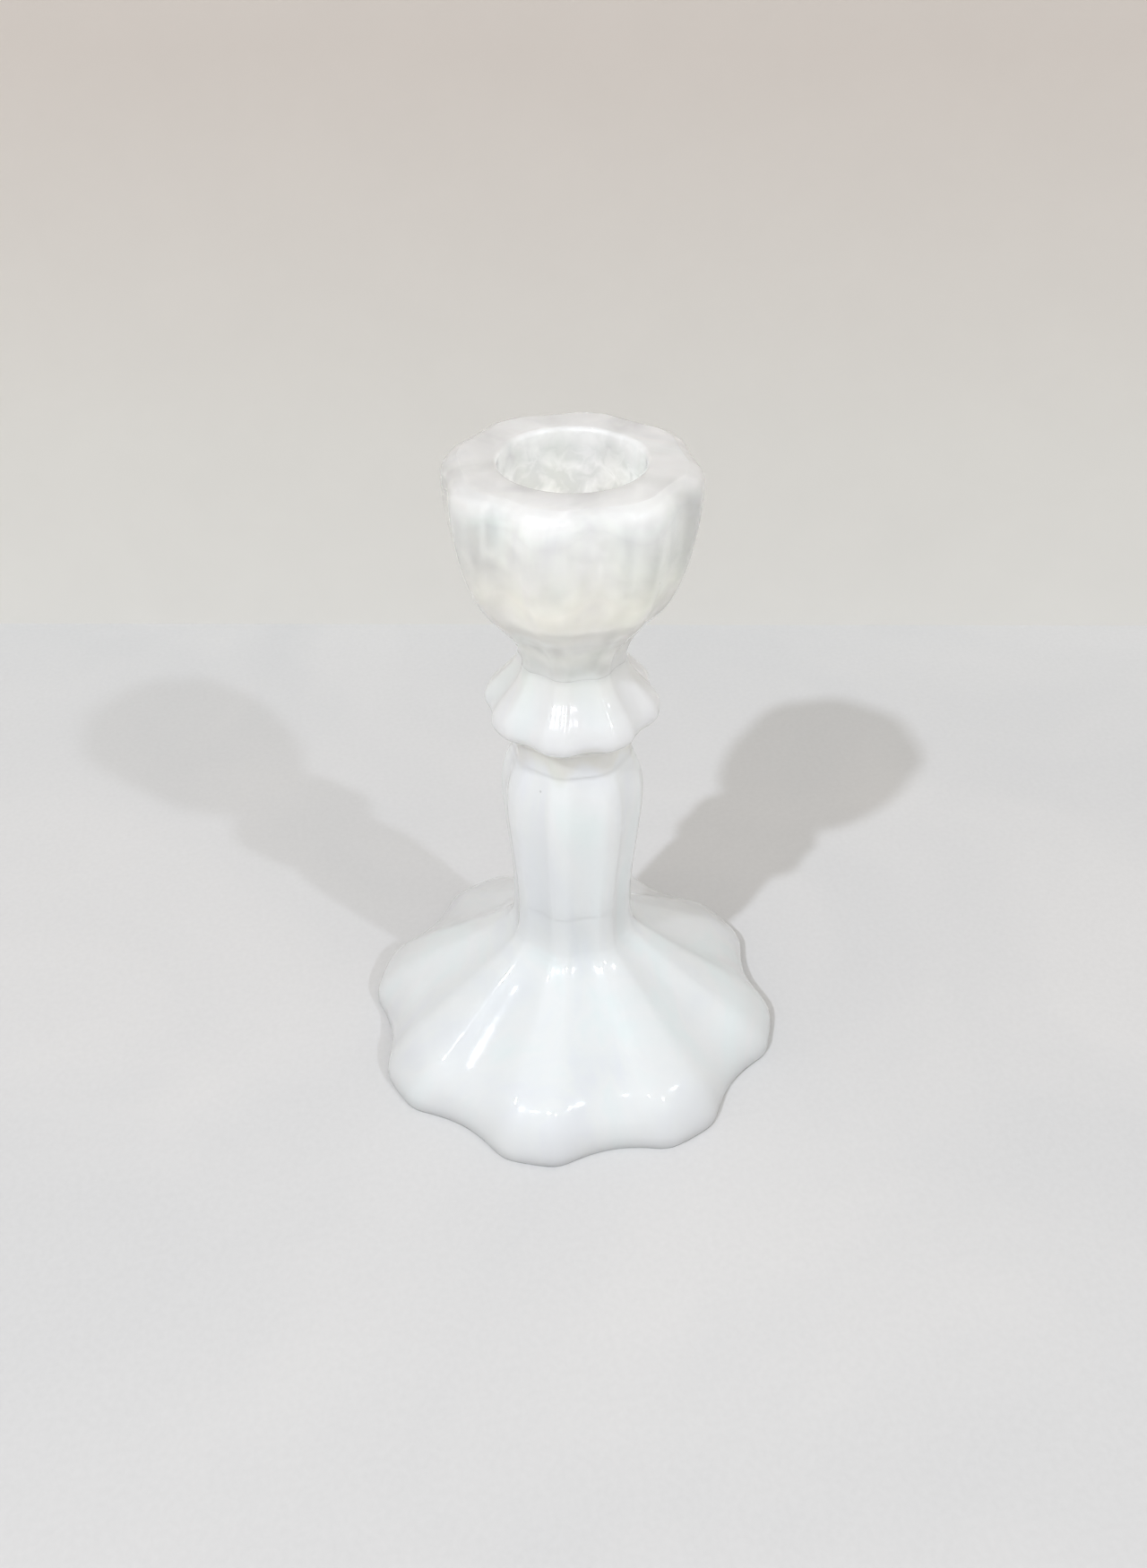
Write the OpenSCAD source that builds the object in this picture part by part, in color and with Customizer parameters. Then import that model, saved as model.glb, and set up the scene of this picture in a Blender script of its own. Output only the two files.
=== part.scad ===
// Fluted opal-glass candlestick: foot, stem, knop, neck and candle cup.
// Units are millimetres and +Z is up. The object stands on z = 0, centred on
// the Z axis. A wide flute faces -Y; the pattern repeats eight times.
// Each glass section is its own solid and meets the next on a flat face.

/* [Which piece to build] */

// Piece to build, or all of them together

/* [Overall size] */

// Diameter of the foot across opposite ribs
foot_d = 77; // [50:0.5:120]

// Height of the foot, up to the waist where the stem starts
foot_h = 32.7; // [20:0.1:50]

// Height of the rounded rim of the foot
rim_h = 8; // [4:0.1:12]

// How far the rim leans in from its widest point to its shoulder
rim_in = 4.6; // [2:0.1:10]

// Height of the stem, from the waist to the underside of the knop
stem_h = 30.8; // [15:0.1:80]

// Height of the knop
knop_h = 18.1; // [10:0.1:30]

// Height of the neck between the knop and the cup
neck_h = 8.1; // [4:0.1:20]

// Height of the candle cup
cup_h = 25.5; // [20:0.1:45]

/* [Widths across the ribs] */

// Diameter at the waist, where the foot meets the stem
waist_d = 21.3; // [14:0.1:36]

// Diameter of the stem at its widest, below the knop
stem_d = 24.4; // [16:0.1:40]

// Diameter where the stem meets the underside of the knop
collar_d = 20.2; // [12:0.1:36]

// Diameter of the knop at its widest
knop_d = 29.2; // [20:0.1:50]

// Diameter at the narrowest point of the neck
neck_d = 17.8; // [10:0.1:30]

// Diameter where the neck opens into the bottom of the cup
cup_base_d = 25.4; // [16:0.1:40]

// Diameter of the cup across its lip
cup_d = 39.6; // [30:0.1:60]

/* [Flutes] */

// Number of flutes round the body
flutes = 8; // [5:1:14]

// Part of each repeat taken by the rib between two flutes
rib_share = 0.34; // [0.15:0.01:0.6]

// Depth of the foot flutes as a part of the radius
foot_flute = 0.085; // [0.02:0.005:0.16]

// Depth of the stem flutes as a part of the radius
stem_flute = 0.07; // [0.02:0.005:0.14]

// Depth of the flutes where the stem meets the knop as a part of the radius
collar_flute = 0.035; // [0.01:0.005:0.12]

// Depth of the knop flutes as a part of the radius
knop_flute = 0.075; // [0.02:0.005:0.16]

// Depth of the cup panels as a part of the radius
cup_flute = 0.045; // [0:0.005:0.1]

/* [Candle socket] */

// Diameter of the candle socket bore
socket_d = 22.2; // [18:0.1:26]

// Thickness of the glass left under the socket, inside the cup
socket_floor = 3.5; // [1.5:0.1:8]

// Radius of the soft edge round the socket mouth
mouth_round = 0.8; // [0.3:0.1:2]

/* [Underside of the foot] */

// Width of the resting face at the bottom of a flute
rest_w = 4.8; // [2:0.1:12]

// Height of the hollow above the resting face
hollow_h = 13; // [3:0.5:25]

/* [Smoothness] */

// Steps across one flute
flute_steps = 8; // [4:2:14]

// Steps across one rib
rib_steps = 3; // [2:1:8]

/* [Hidden] */

foot_r = foot_d / 2;
waist_r = waist_d / 2;
stem_r = stem_d / 2;
collar_r = collar_d / 2;
knop_r = knop_d / 2;
neck_r = neck_d / 2;
cup_base_r = cup_base_d / 2;
cup_r = cup_d / 2;
socket_r = socket_d / 2;
socket_depth = cup_h - socket_floor;
edge_round = 0.5;
hollow_r = (foot_r - edge_round) * (1 - foot_flute) - rest_w;
z_waist = foot_h;
z_knop = z_waist + stem_h;
z_neck = z_knop + knop_h;
z_cup = z_neck + neck_h;
z_top = z_cup + cup_h;
repeat = 360 / flutes;
half_flute = repeat * (1 - rib_share) / 2;
glass = [0.93, 0.95, 0.97];
glass_warm = [0.92, 0.93, 0.90];

// ---- Shape of one level -------------------------------------------------

// Angles of one repeat, measured from the middle of a flute.
flute_angles = [for (i = [0 : flute_steps - 1]) -half_flute + 2 * half_flute * i / flute_steps];
rib_angles = [for (i = [0 : rib_steps - 1]) half_flute + (repeat - 2 * half_flute) * i / rib_steps];
around = [for (k = [0 : flutes - 1]) for (a = concat(flute_angles, rib_angles)) [k, a]];

// How far into the flute an angle is: 0 on the rib, 1 in the middle.
function hollow(a) = abs(a) < half_flute ? 1 - pow(a / half_flute, 2) : 0;

// Radius at one angle: row is [z, radius across ribs, flute depth].
function radius(row, a) = row[1] * (1 - row[2] * hollow(a));

function level(row) = [
    for (s = around)
        let (r = radius(row, s[1]), t = s[0] * repeat + s[1] - 90)
        [r * cos(t), r * sin(t), row[0]]
];

// ---- Smooth curve through the rows of a section -------------------------

function curve(a, b, c, d, t) =
    0.5 * (2 * b + (c - a) * t + (2 * a - 5 * b + 4 * c - d) * t * t
    + (3 * b - a - 3 * c + d) * t * t * t);

function smooth(rows, steps) = concat(
    [
        for (i = [0 : len(rows) - 2])
            for (j = [0 : steps - 1])
                let (a = rows[max(i - 1, 0)], b = rows[i])
                let (c = rows[i + 1], d = rows[min(i + 2, len(rows) - 1)])
                curve(a, b, c, d, j / steps)
    ],
    [rows[len(rows) - 1]]
);

// Solid through the rows, closed by a flat face at each end.
module loft(rows) {
    n = len(around);
    m = len(rows);
    points = [for (row = rows) each level(row)];
    bottom = [[for (i = [0 : n - 1]) i]];
    top = [[for (i = [0 : n - 1]) n * m - 1 - i]];
    sides = [
        for (j = [0 : m - 2])
            for (i = [0 : n - 1])
                let (p = j * n + i, q = j * n + (i + 1) % n)
                each [[p, p + n, q], [q, p + n, q + n]]
    ];
    polyhedron(points = points, faces = concat(bottom, sides, top), convexity = 6);
}

// ---- Foot ---------------------------------------------------------------

// Height up the rim, and how far in from the widest point.
function rim(up, in) = [rim_h * up, foot_r - rim_in * in, foot_flute];

// Height and radius of the flare, from the rim's shoulder up to the waist.
flare_h = foot_h - rim_h;
flare_run = foot_r - rim_in - waist_r;
function flare(up, out, depth) = [rim_h + flare_h * up, waist_r + flare_run * out, depth];

foot_rows = [
    [0, foot_r - edge_round, foot_flute],
    [edge_round, foot_r, foot_flute],
    rim(0.33, 0.08),
    rim(0.58, 0.31),
    rim(0.79, 0.62),
    rim(1, 1),
    flare(0.05, 0.931, foot_flute),
    flare(0.115, 0.828, foot_flute),
    flare(0.215, 0.669, foot_flute),
    flare(0.325, 0.497, foot_flute),
    flare(0.435, 0.329, foot_flute),
    flare(0.53, 0.191, stem_flute),
    flare(0.6, 0.101, stem_flute),
    flare(0.645, 0.056, stem_flute),
    flare(0.7, 0.026, stem_flute),
    flare(0.8, 0.006, stem_flute),
    flare(1, 0, stem_flute)
];

// Pressed hollow under the foot, drawn as half of its outline.
module hollow_outline() {
    arc_r = (hollow_h * hollow_h + hollow_r * hollow_r) / (2 * hollow_h);
    intersection() {
        translate([0, hollow_h - arc_r])
            circle(r = arc_r, $fn = 180);
        translate([0, -1])
            square([hollow_r + 5, hollow_h + 2]);
    }
}

module foot() {
    color(glass)
    difference() {
        loft(smooth(foot_rows, 2));
        rotate_extrude($fn = 128)
            hollow_outline();
    }
}

// ---- Stem ---------------------------------------------------------------

// Height up the stem, and radius between the waist and the widest point.
function swell(up, out) = [z_waist + stem_h * up, waist_r + (stem_r - waist_r) * out, stem_flute];

// The same from the widest point in to the collar, where the flutes end in arches.
function shoulder(up, in, depth) = [z_waist + stem_h * up, stem_r + (collar_r - stem_r) * in, depth];

stem_rows = [
    swell(0, 0),
    swell(0.13, 0.1),
    swell(0.31, 0.42),
    swell(0.5, 0.78),
    swell(0.64, 1),
    swell(0.78, 0.98),
    shoulder(0.885, 0.28, stem_flute),
    shoulder(0.955, 0.72, (stem_flute + collar_flute) / 2),
    shoulder(1, 1, collar_flute)
];

module stem() {
    color(glass)
        loft(smooth(stem_rows, 2));
}

// ---- Knop ---------------------------------------------------------------

// Height up the knop, and radius between one end and the widest point.
function under(up, out, depth) = [z_knop + knop_h * up, collar_r + (knop_r - collar_r) * out, depth];
function over(up, out, depth) = [z_knop + knop_h * up, neck_r + (knop_r - neck_r) * out, depth];

knop_rows = [
    under(0, 0, collar_flute),
    under(0.15, 0, collar_flute),
    under(0.24, 0.07, collar_flute),
    under(0.31, 0.33, (collar_flute + knop_flute) / 2),
    under(0.37, 0.69, knop_flute),
    under(0.425, 0.91, knop_flute),
    under(0.5, 1, knop_flute),
    over(0.61, 0.88, knop_flute),
    over(0.74, 0.53, knop_flute),
    over(0.87, 0.18, stem_flute),
    over(1, 0, stem_flute)
];

module knop() {
    color(glass)
        loft(smooth(knop_rows, 2));
}

// ---- Neck ---------------------------------------------------------------

// Height up the neck, and radius between the narrowest point and the cup.
function throat(up, out, depth) = [z_neck + neck_h * up, neck_r + (cup_base_r - neck_r) * out, depth];

neck_rows = [
    throat(0, 0, stem_flute),
    throat(0.3, 0.08, stem_flute),
    throat(0.62, 0.38, stem_flute),
    throat(1, 1, cup_flute)
];

module neck() {
    color(glass_warm)
        loft(smooth(neck_rows, 2));
}

// ---- Candle cup ---------------------------------------------------------

// Height up the cup, and radius between the base and the lip.
function tulip(up, out) = [z_cup + cup_h * up, cup_base_r + (cup_r - cup_base_r) * out, cup_flute];

cup_rows = [
    tulip(0, 0),
    tulip(0.12, 0.35),
    tulip(0.26, 0.6),
    tulip(0.41, 0.78),
    tulip(0.59, 0.92),
    tulip(0.76, 0.995),
    [z_top - 3.2, cup_r, cup_flute],
    [z_top - 1.7, cup_r - 0.3, cup_flute],
    [z_top - 0.6, cup_r - 1.2, cup_flute],
    [z_top, cup_r - 2.6, cup_flute]
];

// Half outline of the soft edge cut round the socket mouth.
module mouth_outline() {
    difference() {
        translate([socket_r - 0.5, z_top - mouth_round])
            square([mouth_round + 0.5, mouth_round + 1]);
        translate([socket_r + mouth_round, z_top - mouth_round])
            circle(r = mouth_round, $fn = 48);
    }
}

module candle_cup() {
    color(glass_warm)
    difference() {
        loft(smooth(cup_rows, 2));
        translate([0, 0, z_top - socket_depth])
            cylinder(h = socket_depth + 1, r = socket_r, $fn = 128);
        rotate_extrude($fn = 128)
            mouth_outline();
    }
}

// ---- Pieces -------------------------------------------------------------

foot();
stem();
knop();
neck();
candle_cup();
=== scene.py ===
import math

import bpy
import numpy as np
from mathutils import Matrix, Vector


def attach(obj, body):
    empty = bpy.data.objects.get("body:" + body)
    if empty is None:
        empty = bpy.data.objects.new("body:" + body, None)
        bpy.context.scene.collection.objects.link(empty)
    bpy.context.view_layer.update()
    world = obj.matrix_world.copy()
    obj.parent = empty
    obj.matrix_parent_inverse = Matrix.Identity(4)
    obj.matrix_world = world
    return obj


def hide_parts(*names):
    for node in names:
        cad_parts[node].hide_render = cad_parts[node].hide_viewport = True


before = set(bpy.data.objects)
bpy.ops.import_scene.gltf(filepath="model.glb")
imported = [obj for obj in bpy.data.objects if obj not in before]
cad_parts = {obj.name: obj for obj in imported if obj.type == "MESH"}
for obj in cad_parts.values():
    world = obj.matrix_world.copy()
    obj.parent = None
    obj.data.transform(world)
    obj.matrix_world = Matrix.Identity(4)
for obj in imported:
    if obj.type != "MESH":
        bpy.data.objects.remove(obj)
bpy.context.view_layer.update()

MM = 0.001

# ---------------------------------------------------------------- dimensions
# The same named sizes as the CAD source, in millimetres.
FOOT_R = 38.5
FOOT_H = 32.7
RIM_H = 8.0
RIM_IN = 4.6
STEM_H = 30.8
KNOP_H = 18.1
NECK_H = 8.1
CUP_H = 25.5
WAIST_R = 10.65
STEM_R = 12.2
COLLAR_R = 10.1
KNOP_R = 14.6
NECK_R = 8.9
CUP_BASE_R = 12.7
CUP_R = 19.8
SOCKET_R = 11.1
SOCKET_FLOOR = 3.5
MOUTH_ROUND = 0.8
FLUTES = 8
RIB_SHARE = 0.34
FOOT_FLUTE = 0.085
STEM_FLUTE = 0.07
COLLAR_FLUTE = 0.035
KNOP_FLUTE = 0.075
CUP_FLUTE = 0.045
REST_W = 4.8
HOLLOW_H = 13.0
EDGE_ROUND = 0.5
LIP_ROUND = 2.6
FLOOR_ROUND = 1.0

Z_WAIST = FOOT_H
Z_KNOP = Z_WAIST + STEM_H
Z_NECK = Z_KNOP + KNOP_H
Z_CUP = Z_NECK + NECK_H
Z_TOP = Z_CUP + CUP_H
REPEAT = 360 / FLUTES
HALF_FLUTE = REPEAT * (1 - RIB_SHARE) / 2
# Points round each ring of the skin, and rings from one row of a section to the next.
AROUND = 28 * FLUTES
STEPS = 7
# Degrees over which the edges of a rib are averaged, to round them.
RIB_BLUR = (-2.2, -1.1, 0, 1.1, 2.2)


# ---------------------------------------------------------------- glass shape
def curve(a, b, c, d, t):
    return 0.5 * (
        2 * b
        + (c - a) * t
        + (2 * a - 5 * b + 4 * c - d) * t * t
        + (3 * b - a - 3 * c + d) * t**3
    )


def smooth(rows, steps):
    """Rows of numbers, joined by a smooth curve with this many steps between two rows."""
    out = []
    for i in range(len(rows) - 1):
        a = rows[max(i - 1, 0)]
        b = rows[i]
        c = rows[i + 1]
        d = rows[min(i + 2, len(rows) - 1)]
        for j in range(steps):
            out.append([curve(*v, j / steps) for v in zip(a, b, c, d)])
    out.append(list(rows[-1]))
    return out


def hollow(angle):
    """How deep in the flute an angle is, with the rib's edges rounded as fire polishing does."""
    total = 0
    for shift in RIB_BLUR:
        a = (angle + shift + REPEAT / 2) % REPEAT - REPEAT / 2
        if abs(a) < HALF_FLUTE:
            total += 1 - (a / HALF_FLUTE) ** 2
    return total / len(RIB_BLUR)


IN_FLUTE = [hollow(360 * i / AROUND) for i in range(AROUND)]


def ring(row):
    """The points of one level of fluted glass: row is z, radius across the ribs, flute depth."""
    z, r, depth = row
    points = []
    for i in range(AROUND):
        t = math.radians(360 * i / AROUND - 90)
        here = r * (1 - depth * IN_FLUTE[i])
        points.append((here * math.cos(t) * MM, here * math.sin(t) * MM, z * MM))
    return points


def circle(r, z):
    """The points of one round level, for the socket and the hollow under the foot."""
    return ring((z, r, 0))


# Each function below gives one row of a section, from parts of the section's own sizes.
def rim(up, inward):
    return (RIM_H * up, FOOT_R - RIM_IN * inward, FOOT_FLUTE)


def flare(up, out, depth):
    return (RIM_H + (FOOT_H - RIM_H) * up, WAIST_R + (FOOT_R - RIM_IN - WAIST_R) * out, depth)


FOOT_ROWS = [
    (EDGE_ROUND, FOOT_R, FOOT_FLUTE),
    rim(0.33, 0.08),
    rim(0.58, 0.31),
    rim(0.79, 0.62),
    rim(1, 1),
    flare(0.05, 0.931, FOOT_FLUTE),
    flare(0.115, 0.828, FOOT_FLUTE),
    flare(0.215, 0.669, FOOT_FLUTE),
    flare(0.325, 0.497, FOOT_FLUTE),
    flare(0.435, 0.329, FOOT_FLUTE),
    flare(0.53, 0.191, STEM_FLUTE),
    flare(0.6, 0.101, STEM_FLUTE),
    flare(0.645, 0.056, STEM_FLUTE),
    flare(0.7, 0.026, STEM_FLUTE),
    flare(0.8, 0.006, STEM_FLUTE),
    flare(1, 0, STEM_FLUTE),
]


def swell(up, out):
    return (Z_WAIST + STEM_H * up, WAIST_R + (STEM_R - WAIST_R) * out, STEM_FLUTE)


def shoulder(up, inward, depth):
    return (Z_WAIST + STEM_H * up, STEM_R + (COLLAR_R - STEM_R) * inward, depth)


STEM_ROWS = [
    swell(0, 0),
    swell(0.13, 0.1),
    swell(0.31, 0.42),
    swell(0.5, 0.78),
    swell(0.64, 1),
    swell(0.78, 0.98),
    shoulder(0.885, 0.28, STEM_FLUTE),
    shoulder(0.955, 0.72, (STEM_FLUTE + COLLAR_FLUTE) / 2),
    shoulder(1, 1, COLLAR_FLUTE),
]


def under(up, out, depth):
    return (Z_KNOP + KNOP_H * up, COLLAR_R + (KNOP_R - COLLAR_R) * out, depth)


def over(up, out, depth):
    return (Z_KNOP + KNOP_H * up, NECK_R + (KNOP_R - NECK_R) * out, depth)


KNOP_ROWS = [
    under(0, 0, COLLAR_FLUTE),
    under(0.15, 0, COLLAR_FLUTE),
    under(0.24, 0.07, COLLAR_FLUTE),
    under(0.31, 0.33, (COLLAR_FLUTE + KNOP_FLUTE) / 2),
    under(0.37, 0.69, KNOP_FLUTE),
    under(0.425, 0.91, KNOP_FLUTE),
    under(0.5, 1, KNOP_FLUTE),
    over(0.61, 0.88, KNOP_FLUTE),
    over(0.74, 0.53, KNOP_FLUTE),
    over(0.87, 0.18, STEM_FLUTE),
    over(1, 0, STEM_FLUTE),
]


def throat(up, out, depth):
    return (Z_NECK + NECK_H * up, NECK_R + (CUP_BASE_R - NECK_R) * out, depth)


NECK_ROWS = [
    throat(0, 0, STEM_FLUTE),
    throat(0.3, 0.08, STEM_FLUTE),
    throat(0.62, 0.38, STEM_FLUTE),
    throat(1, 1, CUP_FLUTE),
]


def tulip(up, out):
    return (Z_CUP + CUP_H * up, CUP_BASE_R + (CUP_R - CUP_BASE_R) * out, CUP_FLUTE)


CUP_ROWS = [
    tulip(0, 0),
    tulip(0.12, 0.35),
    tulip(0.26, 0.6),
    tulip(0.41, 0.78),
    tulip(0.59, 0.92),
    tulip(0.76, 0.995),
    (Z_TOP - 3.2, CUP_R, CUP_FLUTE),
    (Z_TOP - 1.7, CUP_R - 0.3, CUP_FLUTE),
    (Z_TOP - 0.6, CUP_R - 1.2, CUP_FLUTE),
    (Z_TOP, CUP_R - LIP_ROUND, CUP_FLUTE),
]


# ---------------------------------------------------------------- one skin, cut into pieces
def underside():
    """Rings from the middle of the hollow under the foot, out to the edge that rests on the table."""
    hollow_r = (FOOT_R - EDGE_ROUND) * (1 - FOOT_FLUTE) - REST_W
    arc_r = (HOLLOW_H**2 + hollow_r**2) / (2 * HOLLOW_H)
    widest = math.asin(hollow_r / arc_r)
    rings = []
    steps = 25
    for i in range(1, steps):
        a = widest * i / steps
        rings.append(circle(arc_r * math.sin(a), HOLLOW_H - arc_r + arc_r * math.cos(a)))
    rings.append(circle(hollow_r, 0))
    rings.append(circle(hollow_r + 0.3, 0))
    rings.append(ring((0, FOOT_R - EDGE_ROUND - 0.2, FOOT_FLUTE)))
    rings.append(ring((0, FOOT_R - EDGE_ROUND, FOOT_FLUTE)))
    rings.append(ring((0.14, FOOT_R - 0.15, FOOT_FLUTE)))
    return rings


def socket():
    """Rings from the lip, over the soft mouth of the candle socket, and down to its floor."""
    rings = [
        ring((Z_TOP, CUP_R - LIP_ROUND - 0.6, CUP_FLUTE)),
        circle(SOCKET_R + MOUTH_ROUND + 1.2, Z_TOP),
    ]
    mouth_steps, wall_steps, floor_steps = 6, 20, 5
    for i in range(mouth_steps + 1):
        a = math.radians(90 * i / mouth_steps)
        out = MOUTH_ROUND * (1 - math.sin(a))
        down = MOUTH_ROUND * (1 - math.cos(a))
        rings.append(circle(SOCKET_R + out, Z_TOP - down))
    floor = Z_CUP + SOCKET_FLOOR
    wall_top = Z_TOP - MOUTH_ROUND
    wall_low = floor + FLOOR_ROUND
    for i in range(1, wall_steps):
        rings.append(circle(SOCKET_R, wall_top + (wall_low - wall_top) * i / wall_steps))
    for i in range(floor_steps + 1):
        a = math.radians(90 * i / floor_steps)
        inward = FLOOR_ROUND * (1 - math.cos(a))
        rings.append(circle(SOCKET_R - inward, wall_low - FLOOR_ROUND * math.sin(a)))
    for r in (8, 6, 4, 2):
        rings.append(circle(r, floor))
    return rings


SECTIONS = (FOOT_ROWS, STEM_ROWS, KNOP_ROWS, NECK_ROWS, CUP_ROWS)
body_rows = list(FOOT_ROWS)
for rows in SECTIONS[1:]:
    body_rows += rows[1:]
under_rings = underside()
skin = np.array(under_rings + [ring(r) for r in smooth(body_rows, STEPS)] + socket())


def skin_normals():
    """One normal for each point of the whole skin, so that shading runs on across the joints."""
    along = np.gradient(skin, axis=0)
    about = np.roll(skin, -1, axis=1) - np.roll(skin, 1, axis=1)
    normals = np.cross(about, along)
    return normals / np.linalg.norm(normals, axis=2, keepdims=True)


normals = skin_normals()


def piece(name, first, last, close=""):
    """The part of the skin between two of its rings, as a mesh."""
    verts = skin[first : last + 1].reshape(-1, 3).tolist()
    facing = normals[first : last + 1].reshape(-1, 3).tolist()
    n = AROUND
    faces = []
    for j in range(last - first):
        for i in range(n):
            a = j * n + i
            b = j * n + (i + 1) % n
            faces.append((a, b, b + n, a + n))
    if close == "bottom":
        faces += [(len(verts), (i + 1) % n, i) for i in range(n)]
        verts.append((0, 0, HOLLOW_H * MM))
        facing.append((0, 0, -1))
    if close == "socket":
        k = (last - first) * n
        faces += [(len(verts), k + i, k + (i + 1) % n) for i in range(n)]
        verts.append((0, 0, verts[k][2]))
        facing.append((0, 0, 1))
    mesh = bpy.data.meshes.new(name)
    mesh.from_pydata(verts, [], faces)
    mesh.polygons.foreach_set("use_smooth", [True] * len(faces))
    mesh.update()
    mesh.normals_split_custom_set_from_vertices(facing)
    obj = bpy.data.objects.new(name, mesh)
    bpy.context.scene.collection.objects.link(obj)
    return obj


# Where each section's skin ends, as a ring number.
ends = []
ring_number = len(under_rings)
for rows in SECTIONS:
    ring_number += (len(rows) - 1) * STEPS
    ends.append(ring_number)

foot = piece("foot_glass", 0, ends[0], close="bottom")
stem = piece("stem_glass", ends[0], ends[1])
knop = piece("knop_glass", ends[1], ends[2])
neck = piece("neck_glass", ends[2], ends[3])
cup = piece("cup_glass", ends[3], len(skin) - 1, close="socket")


# ---------------------------------------------------------------- materials
def material(name):
    m = bpy.data.materials.new(name)
    m.use_nodes = True
    nodes = m.node_tree.nodes
    return m, nodes, m.node_tree.links, nodes["Principled BSDF"]


def noise(nodes, links, vector, scale, detail, distortion=0.0):
    n = nodes.new("ShaderNodeTexNoise")
    n.inputs["Scale"].default_value = scale
    n.inputs["Detail"].default_value = detail
    n.inputs["Distortion"].default_value = distortion
    links.new(vector, n.inputs["Vector"])
    return n.outputs["Fac"]


def remap(nodes, links, value, low, high, to_low, to_high):
    n = nodes.new("ShaderNodeMapRange")
    n.inputs["From Min"].default_value = low
    n.inputs["From Max"].default_value = high
    n.inputs["To Min"].default_value = to_low
    n.inputs["To Max"].default_value = to_high
    links.new(value, n.inputs["Value"])
    return n.outputs["Result"]


def math_node(nodes, links, operation, a, b):
    n = nodes.new("ShaderNodeMath")
    n.operation = operation
    for socket_number, value in enumerate((a, b)):
        if isinstance(value, (int, float)):
            n.inputs[socket_number].default_value = value
        else:
            links.new(value, n.inputs[socket_number])
    return n.outputs["Value"]


def ramp(nodes, links, value, stops):
    """A colour ramp with a stop for each (position, colour)."""
    n = nodes.new("ShaderNodeValToRGB")
    elements = n.color_ramp.elements
    while len(elements) < len(stops):
        elements.new(0.5)
    for element, (position, colour) in zip(elements, stops):
        element.position = position
        element.color = (*colour, 1)
    links.new(value, n.inputs["Fac"])
    return n.outputs["Color"]


def multiply(nodes, links, a, b):
    """Two colours, or a colour and a grey value, multiplied together."""
    n = nodes.new("ShaderNodeMix")
    n.data_type = "RGBA"
    n.blend_type = "MULTIPLY"
    for key, value in (("Factor", 1.0), ("A", a), ("B", b)):
        socket_in = next(s for s in n.inputs if s.name == key and s.enabled)
        if isinstance(value, float):
            socket_in.default_value = value
        else:
            links.new(value, socket_in)
    return next(s for s in n.outputs if s.enabled)


def split_xyz(nodes, links):
    """The place on the object, whole and as its three axes."""
    coords = nodes.new("ShaderNodeTexCoord").outputs["Object"]
    split = nodes.new("ShaderNodeSeparateXYZ")
    links.new(coords, split.inputs["Vector"])
    return coords, split.outputs["X"], split.outputs["Y"], split.outputs["Z"]


def grey(v):
    return (v, v, v)


# Body colour by height, as a part of the whole: bluish white in the foot and stem, painted
# shade in the recess under the knop, then thinner and warmer milk, painted shade on the
# underside of the bowl, a cream band and a pale lip.
BODY_TONE_AND_SHADE = (
    (0.00, (0.90, 0.92, 0.925)),
    (0.14, (0.90, 0.935, 0.95)),
    (0.30, (0.90, 0.93, 0.935)),
    (0.55, (0.91, 0.925, 0.92)),
    # Painted shade: the recess under the knop, dark and warm.
    (0.57, (0.85, 0.84, 0.79)),
    (0.60, (0.85, 0.84, 0.79)),
    (0.62, (0.92, 0.925, 0.95)),
    (0.70, (0.93, 0.93, 0.90)),
    # Painted shade on the underside of the bowl, darkest here.
    (0.825, (0.88, 0.865, 0.82)),
    (0.86, (0.90, 0.885, 0.815)),
    (0.90, (0.84, 0.84, 0.81)),
    (0.965, (0.84, 0.85, 0.845)),
    (0.985, (0.95, 0.965, 0.965)),
)
# How much light passes through, by height.
CLEAR = (
    (0.00, grey(0.28)),
    (0.25, grey(0.27)),
    (0.55, grey(0.27)),
    (0.66, grey(0.32)),
    (0.74, grey(0.42)),
    (0.83, grey(0.52)),
    (0.86, grey(0.46)),
    (0.90, grey(0.62)),
    (0.965, grey(0.62)),
    (1.00, grey(0.42)),
)
# How far light spreads in the milk, by height: little close to a joint, where a skin ends.
SPREAD = (
    (0.0, grey(1.0)),
    (Z_WAIST / Z_TOP - 0.06, grey(1.0)),
    (Z_WAIST / Z_TOP, grey(0.06)),
    (Z_WAIST / Z_TOP + 0.06, grey(1.0)),
    (Z_KNOP / Z_TOP - 0.05, grey(0.9)),
    (Z_KNOP / Z_TOP, grey(0.1)),
    (Z_KNOP / Z_TOP + 0.08, grey(0.6)),
    (Z_NECK / Z_TOP, grey(0.1)),
    (Z_CUP / Z_TOP, grey(0.15)),
    (Z_CUP / Z_TOP + 0.07, grey(0.8)),
)
SPREAD_DEPTH = 0.005
# Tint of the wisps: a faint violet, plain milk, a faint green.
CLOUD = (
    (0.36, (0.97, 0.965, 1.0)),
    (0.5, (1.0, 1.0, 0.995)),
    (0.64, (0.955, 0.99, 0.98)),
)
# How far the wisps and the flutes shift the colours up or down, as a part of the height.
WISP_SHIFT = 0.008
FLUTE_SHIFT = 0.012


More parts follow.
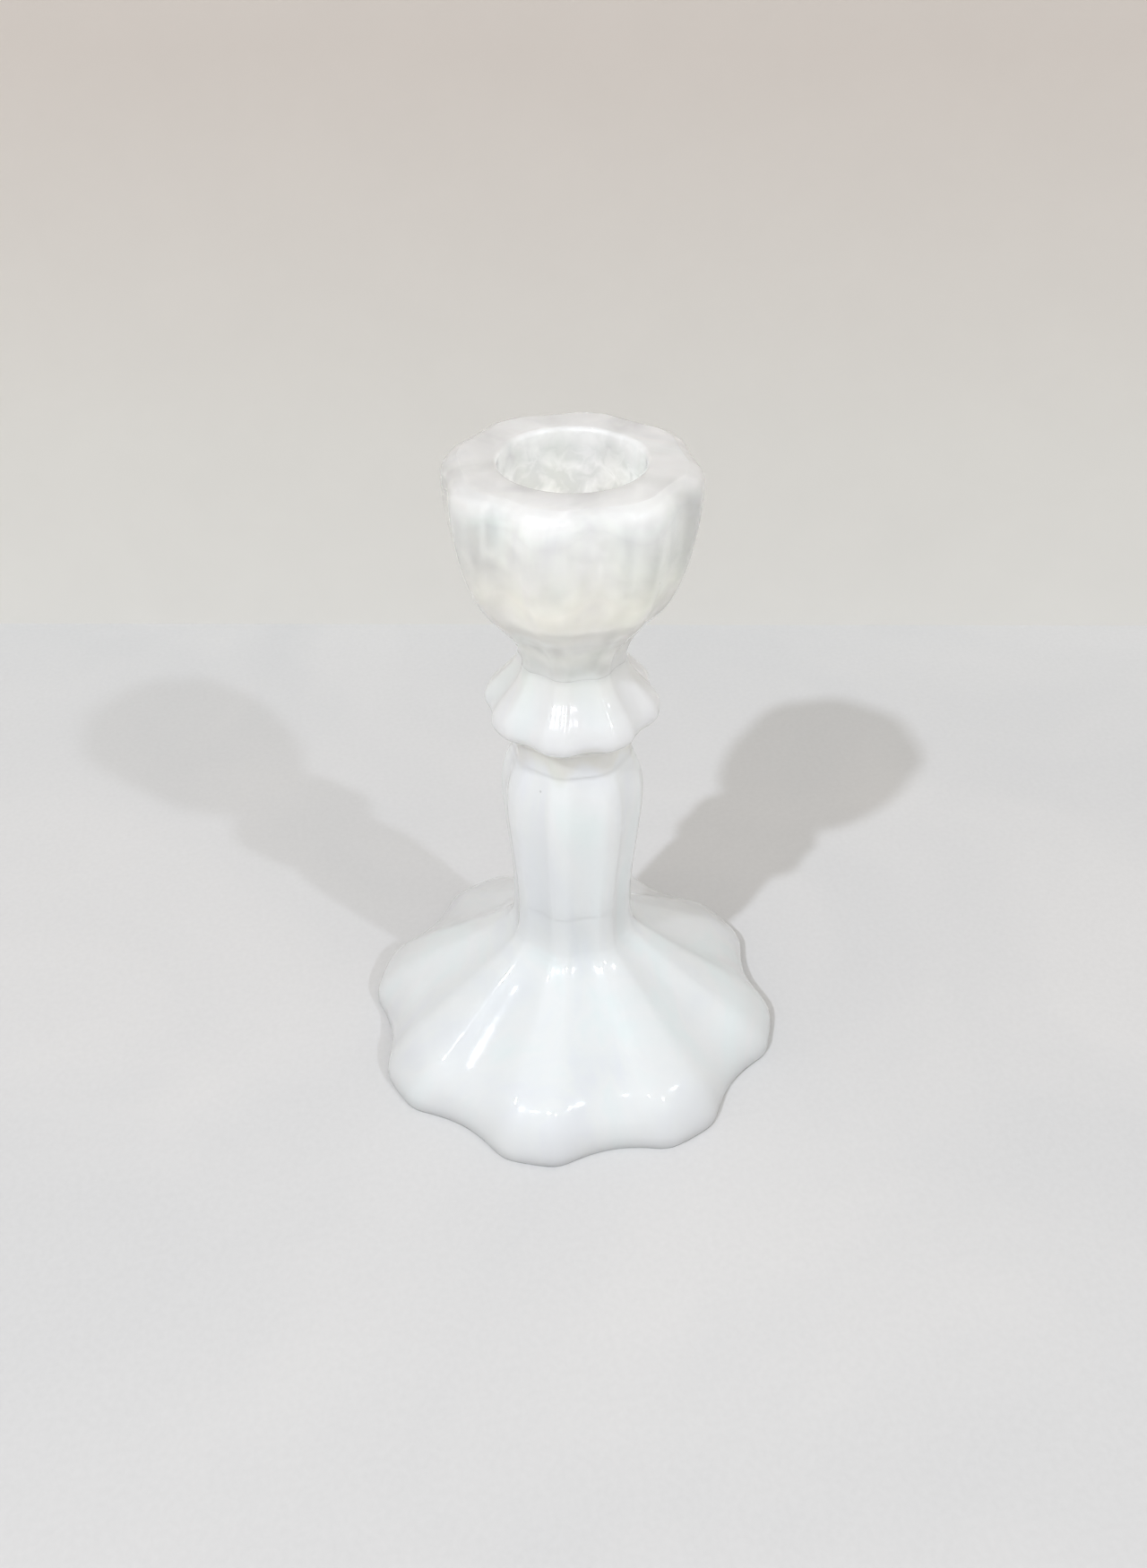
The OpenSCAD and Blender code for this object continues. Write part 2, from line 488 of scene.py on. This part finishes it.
def socket_glow(nodes, links, coords, x, y, z):
    """Painted light: an emission glow in a ragged patch inside the candle socket, standing in for light
    gathered there, that fades close to the mouth.
    """

    def calc(operation, a, b=0):
        return math_node(nodes, links, operation, a, b)

    radius = calc("SQRT", calc("ADD", calc("MULTIPLY", x, x), calc("MULTIPLY", y, y)))
    inside = calc(
        "MULTIPLY",
        remap(nodes, links, radius, (SOCKET_R + 0.7) * MM, (SOCKET_R + 0.1) * MM, 0, 1),
        remap(nodes, links, z, (Z_CUP + 1) * MM, (Z_CUP + 2) * MM, 0, 1),
    )
    ragged = noise(nodes, links, coords, 330, 3, 0.6)
    level = calc("ADD", z, remap(nodes, links, ragged, 0.3, 0.7, -0.0025, 0.0025))
    patch = remap(nodes, links, level, (Z_TOP - 3.0) * MM, (Z_TOP - 5.0) * MM, 0.3, 1)
    strength = remap(nodes, links, ragged, 0.38, 0.62, 0.12, 0.30)
    return calc("MULTIPLY", calc("MULTIPLY", inside, patch), strength)


def opal(name, scatter, ripples):
    """Fire-polished opal glass: milk that thins with height and drifts in wisps, seeds, a wavy skin,
    painted shade under the knop and the bowl, and a painted glow in the socket.
    """
    m, nodes, links, bsdf = material(name)
    coords, x, y, z = split_xyz(nodes, links)

    def calc(operation, a, b=0):
        return math_node(nodes, links, operation, a, b)

    # Height from 0 to 1, shifted by the wisps and once in each flute.
    height = remap(nodes, links, z, 0, Z_TOP * MM, 0, 1)
    stretch = nodes.new("ShaderNodeMapping")
    stretch.inputs["Scale"].default_value = (1, 1, 0.4)
    links.new(coords, stretch.inputs["Vector"])
    wisps = noise(nodes, links, stretch.outputs["Vector"], 60, 3, 1.2)
    drifted = calc("ADD", height, remap(nodes, links, wisps, 0.3, 0.7, -WISP_SHIFT, WISP_SHIFT))
    repeats = calc("COSINE", calc("MULTIPLY", calc("ARCTAN2", y, x), FLUTES))
    drifted = calc("ADD", drifted, calc("MULTIPLY", repeats, -FLUTE_SHIFT))

    # Colour of the milk with its painted shade, and a few small dark seeds.
    body = ramp(nodes, links, drifted, BODY_TONE_AND_SHADE)
    colour = multiply(nodes, links, body, ramp(nodes, links, wisps, CLOUD))
    cells = nodes.new("ShaderNodeTexVoronoi")
    cells.inputs["Scale"].default_value = 110
    links.new(coords, cells.inputs["Vector"])
    seeds = remap(nodes, links, cells.outputs["Distance"], 0.014, 0.03, 0.72, 1)
    links.new(multiply(nodes, links, colour, seeds), bsdf.inputs["Base Color"])

    # Painted light: the socket glow drives the emission.
    glow = socket_glow(nodes, links, coords, x, y, z)
    links.new(glow, bsdf.inputs["Emission Strength"])
    bsdf.inputs["Emission Color"].default_value = (1.0, 1.0, 0.99, 1)

    clear = ramp(nodes, links, drifted, CLEAR)
    thinner = remap(nodes, links, wisps, 0.3, 0.7, 1.1, 0.9)
    links.new(calc("MULTIPLY", clear, thinner), bsdf.inputs["Transmission Weight"])

    rub = noise(nodes, links, coords, 140, 4)
    roughness = remap(nodes, links, rub, 0.3, 0.7, scatter - 0.04, scatter + 0.04)
    links.new(roughness, bsdf.inputs["Roughness"])

    # A slow wave with a fine ripple, strongest in the polished coat.
    waves = noise(nodes, links, coords, 110, 2)
    ripple = noise(nodes, links, coords, 420, 2)
    relief = calc("ADD", waves, calc("MULTIPLY", ripple, 0.15))
    for strength, socket_name in ((0.02, "Normal"), (ripples, "Coat Normal")):
        bump = nodes.new("ShaderNodeBump")
        bump.inputs["Strength"].default_value = strength
        bump.inputs["Distance"].default_value = 0.0008
        links.new(relief, bump.inputs["Height"])
        links.new(bump.outputs["Normal"], bsdf.inputs[socket_name])

    spread = calc("MULTIPLY", ramp(nodes, links, height, SPREAD), SPREAD_DEPTH)
    links.new(spread, bsdf.inputs["Subsurface Scale"])
    bsdf.inputs["Subsurface Weight"].default_value = 1.0
    bsdf.inputs["Subsurface Radius"].default_value = (1.0, 1.0, 1.0)
    bsdf.inputs["IOR"].default_value = 1.5
    bsdf.inputs["Specular IOR Level"].default_value = 0.2
    bsdf.inputs["Coat Weight"].default_value = 1.0
    bsdf.inputs["Coat Roughness"].default_value = 0.07
    bsdf.inputs["Coat IOR"].default_value = 1.5
    return m


WHITE = opal("opal_white", 0.55, 0.12)
PALE = opal("opal_pale", 0.2, 0.35)

for glass, node, slot, mat in (
    (foot, "foot", "opal_white", WHITE),
    (stem, "stem", "opal_white", WHITE),
    (knop, "knop", "opal_white", WHITE),
    (neck, "neck", "opal_pale", PALE),
    (cup, "candle_cup", "opal_pale", PALE),
):
    glass.data.materials.append(mat)
    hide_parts(node)
    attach(glass, "root")

# ---------------------------------------------------------------- stage
# The camera stands a little to one side of the flute that faces -Y.
TURN = math.radians(-11.5)


def seen_from(right, back, up):
    """A place given as the camera sees it: to its right, away from it, and up."""
    return Vector(
        (
            right * math.cos(TURN) - back * math.sin(TURN),
            right * math.sin(TURN) + back * math.cos(TURN),
            up,
        )
    )


def plane(name, corners):
    mesh = bpy.data.meshes.new(name)
    mesh.from_pydata([tuple(c) for c in corners], [], [(0, 1, 2, 3)])
    obj = bpy.data.objects.new(name, mesh)
    bpy.context.scene.collection.objects.link(obj)
    return obj


def woven_cloth():
    """Pale cloth: a fine weave and soft creases, with a slow change of tone."""
    m, nodes, links, bsdf = material("table_cloth")
    coords = nodes.new("ShaderNodeTexCoord").outputs["Object"]
    weave = noise(nodes, links, coords, 900, 2)
    soft = noise(nodes, links, coords, 14, 3, 0.8)
    tone = ramp(nodes, links, soft, ((0.35, (0.64, 0.64, 0.64)), (0.65, (0.675, 0.67, 0.665))))
    tone = multiply(nodes, links, tone, remap(nodes, links, weave, 0.3, 0.7, 0.97, 1.0))
    links.new(tone, bsdf.inputs["Base Color"])
    bump = nodes.new("ShaderNodeBump")
    bump.inputs["Strength"].default_value = 0.25
    bump.inputs["Distance"].default_value = 0.002
    links.new(soft, bump.inputs["Height"])
    links.new(bump.outputs["Normal"], bsdf.inputs["Normal"])
    bsdf.inputs["Roughness"].default_value = 0.8
    bsdf.inputs["Specular IOR Level"].default_value = 0.15
    return m


# Wall colour from the table up: painted shade, a little darker and warmer with height as less light
# reaches the top.
WALL_SHADE_TONES = (
    (0, (0.70, 0.685, 0.65)),
    (0.33, (0.66, 0.64, 0.60)),
    (0.9, (0.57, 0.52, 0.475)),
)


def wall_with_painted_shade():
    """Pale wall with painted shade, a little darker and warmer with height, and the faint mottle of
    rolled paint.
    """
    m, nodes, links, bsdf = material("wall_paint_and_shade")
    coords, _, _, z = split_xyz(nodes, links)
    height = remap(nodes, links, z, 0, 0.16, 0, 1)
    tone = ramp(nodes, links, height, WALL_SHADE_TONES)
    mottle = noise(nodes, links, coords, 60, 5)
    tone = multiply(nodes, links, tone, remap(nodes, links, mottle, 0.3, 0.7, 0.985, 1.0))
    links.new(tone, bsdf.inputs["Base Color"])
    bsdf.inputs["Roughness"].default_value = 0.9
    bsdf.inputs["Specular IOR Level"].default_value = 0.1
    return m


# Metres: how far back the wall stands, how far it is out of square at each end of the
# stage, half the stage's width, and the wall's height.
WALL_BACK = 0.146
WALL_SKEW = 0.004
REACH = 1.2
WALL_HEIGHT = 1.0
far_left = (-REACH, WALL_BACK + WALL_SKEW)
far_right = (REACH, WALL_BACK - WALL_SKEW)

table_corners = ((-REACH, -REACH), (REACH, -REACH), far_right, far_left)
table = plane("table_top", [seen_from(*corner, 0) for corner in table_corners])
table.data.materials.append(woven_cloth())

wall_corners = ((*far_left, 0), (*far_right, 0), (*far_right, WALL_HEIGHT), (*far_left, WALL_HEIGHT))
wall = plane("back_wall", [seen_from(*corner) for corner in wall_corners])
wall.data.materials.append(wall_with_painted_shade())


# ---------------------------------------------------------------- light
COOL = (0.86, 0.91, 1.0)
LAMP_DISTANCE = 1.5
AIM = Vector((0, 0, 0.05))


def disc(name, azimuth, height, size, power):
    """A round lamp aimed at the stem: degrees to the camera's right and up, metres, watts."""
    a = math.radians(azimuth)
    h = math.radians(height)
    toward = seen_from(math.sin(a) * math.cos(h), -math.cos(a) * math.cos(h), math.sin(h))
    place = AIM + toward * LAMP_DISTANCE
    data = bpy.data.lights.new(name, "AREA")
    data.shape = "DISK"
    data.size = size
    data.energy = power
    data.color = COOL
    obj = bpy.data.objects.new(name, data)
    obj.location = place
    obj.rotation_euler = (AIM - place).to_track_quat("-Z", "Y").to_euler()
    bpy.context.scene.collection.objects.link(obj)
    return obj


disc("lamp_left", -36, 48, 0.05, 9.3)
disc("lamp_right", 46, 41, 0.05, 4.4)
# Small far lamps that show only as glints on the polished glass: right, up, size, power.
GLINTS = (
    (-58, 47, 0.06, 2.4),
    (-25, 49, 0.025, 1.6),
    (-14, 50, 0.025, 1.6),
    (6, 48, 0.04, 1.8),
    (68, 42, 0.03, 1.6),
)
for number, (azimuth, height, size, power) in enumerate(GLINTS):
    glint = disc("lamp_glint_%d" % number, azimuth, height, size, power)
    glint.visible_diffuse = False

world = bpy.data.worlds.new("room")
bpy.context.scene.world = world
world.use_nodes = True
room_light = world.node_tree.nodes["Background"]
room_light.inputs["Color"].default_value = (1.0, 0.98, 0.935, 1)
room_light.inputs["Strength"].default_value = 0.79

# ---------------------------------------------------------------- camera
# The picture is 1750 high. The focal length is given in the same units.
IMAGE_HEIGHT = 1750
FOCAL_LENGTH = 1600
SENSOR = 36
LOOK_DOWN = 37.1
R = FOOT_R * MM

camera_data = bpy.data.cameras.new("camera")
camera_data.lens = FOCAL_LENGTH * SENSOR / IMAGE_HEIGHT
camera_data.sensor_width = SENSOR
camera_data.clip_start = 0.01
camera = bpy.data.objects.new("camera", camera_data)
camera.location = seen_from(0.006 * R, -5.125 * R, 5.306 * R)
camera.rotation_euler = (math.radians(90 - LOOK_DOWN), 0, TURN)
bpy.context.scene.collection.objects.link(camera)
bpy.context.scene.camera = camera
bpy.context.scene.view_settings.view_transform = "Standard"

# ---------------------------------------------------------------- scene update
bpy.context.view_layer.update()
